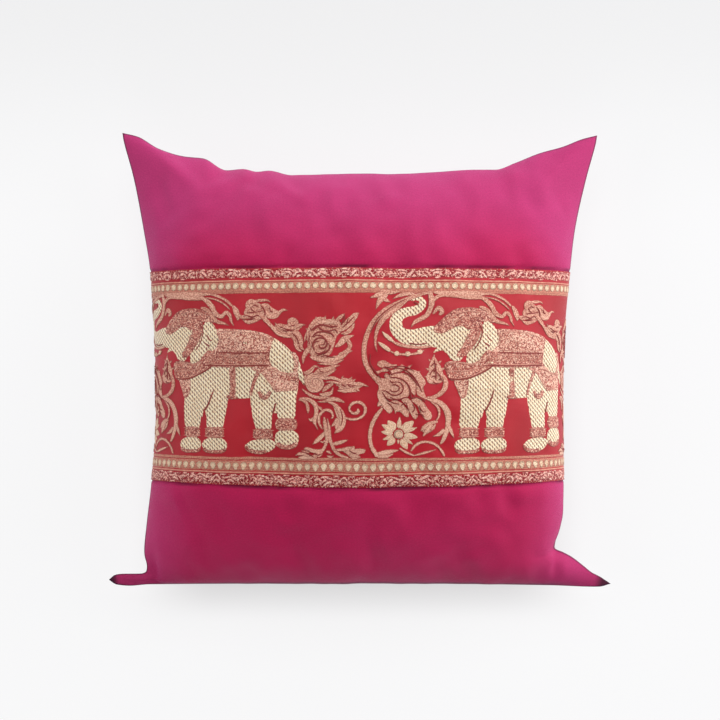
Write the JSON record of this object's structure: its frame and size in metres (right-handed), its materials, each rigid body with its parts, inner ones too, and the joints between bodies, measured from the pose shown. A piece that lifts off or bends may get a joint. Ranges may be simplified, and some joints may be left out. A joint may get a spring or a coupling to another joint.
{
  "type": "outdoor cushion cover",
  "caption": "Square cushion cover, filled, with drawn-in sides, pointed corner ears and a figured brocade band sewn across the front.",
  "frame": {"origin": "centre of the bounding box on the resting plane, under the back panel", "axes": "+X across the face to its right, +Y up the face towards the upper seam, +Z out of the face, so the cushion lies on its back"},
  "size_m": [0.4488, 0.4056, 0.1548],
  "materials": {
    "cover": "smooth plain-woven cloth with a soft sheen, deep pink",
    "brocade": "red satin ground with cream and rose-gold figured weft"
  },
  "bodies": {
    "root": {"cushion": "cover", "brocade_band": "brocade"}
  },
  "joints": []
}
